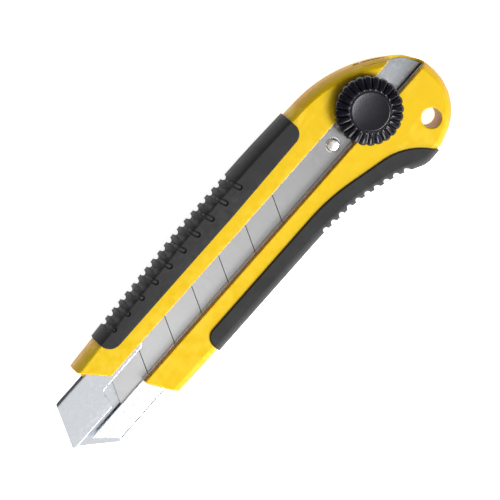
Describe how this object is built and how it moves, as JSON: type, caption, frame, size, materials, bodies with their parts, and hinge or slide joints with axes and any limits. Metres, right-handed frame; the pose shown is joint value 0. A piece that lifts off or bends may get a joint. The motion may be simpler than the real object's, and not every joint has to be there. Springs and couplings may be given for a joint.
{
  "type": "utility knife",
  "caption": "Utility knife with a wide snap-off blade sliding in a steel sheath, a moulded handle with rubber grips, a fluted lock wheel and a hang hole.",
  "frame": {"origin": "middle of the footprint of the whole knife as it lies on its back, at the height of the back face", "axes": "+X runs along the knife from the sheath tip to the tail, +Y to the spine side, away from the cutting edge, +Z out of the front face, up to the lock wheel"},
  "size_m": [0.1936, 0.0538, 0.022],
  "materials": {
    "handle_plastic": "moulded glass-filled plastic, satin",
    "grip_rubber": "moulded soft rubber, matt",
    "sheath_steel": "rolled and pressed stainless sheet",
    "blade_steel": "ground carbon steel",
    "bright_steel": "bright zinc-plated steel",
    "black_steel": "blackened steel",
    "brass": "turned brass",
    "black_plastic": "moulded nylon, satin"
  },
  "bodies": {
    "handle": {"handle_body": "handle_plastic", "rear_cover": "handle_plastic", "cover_screws": "black_steel", "thread_inserts": "brass", "spine_grip": "grip_rubber", "finger_grip": "grip_rubber", "rear_spine_grip": "grip_rubber", "rear_finger_grip": "grip_rubber", "sheath": "sheath_steel", "sheath_dowels": "bright_steel"},
    "carrier": {"slide_plate": "bright_steel", "blade": "blade_steel", "blade_stud": "bright_steel", "lock_screw": "bright_steel", "guide_block": "black_plastic", "detent_spring": "bright_steel", "spring_rivets": "bright_steel", "stop_ring": "black_steel"},
    "washers": {"pressure_washer": "bright_steel", "spring_washer": "bright_steel"},
    "wheel": {"lock_wheel": "black_plastic", "wheel_insert": "brass", "wheel_cap": "black_plastic"}
  },
  "joints": [
    {"name": "blade_slide", "type": "slide", "parent": "handle", "child": "carrier", "axis": [-1, 0, 0], "range_m": [-0.045, 0.12]},
    {"name": "wheel_lift", "type": "slide", "parent": "carrier", "child": "washers", "axis": [0, 0, 1], "range_m": [0, 0.0008]},
    {"name": "wheel_turn", "type": "hinge", "parent": "washers", "child": "wheel", "pos_m": [0.06891, 0.00455, 0.018], "axis": [0, 0, 1], "range_deg": [0, 360]}
  ],
  "couplings": [
    {"joint": "wheel_lift", "follows": "wheel_turn", "m_per_rad": 0.0001273}
  ]
}
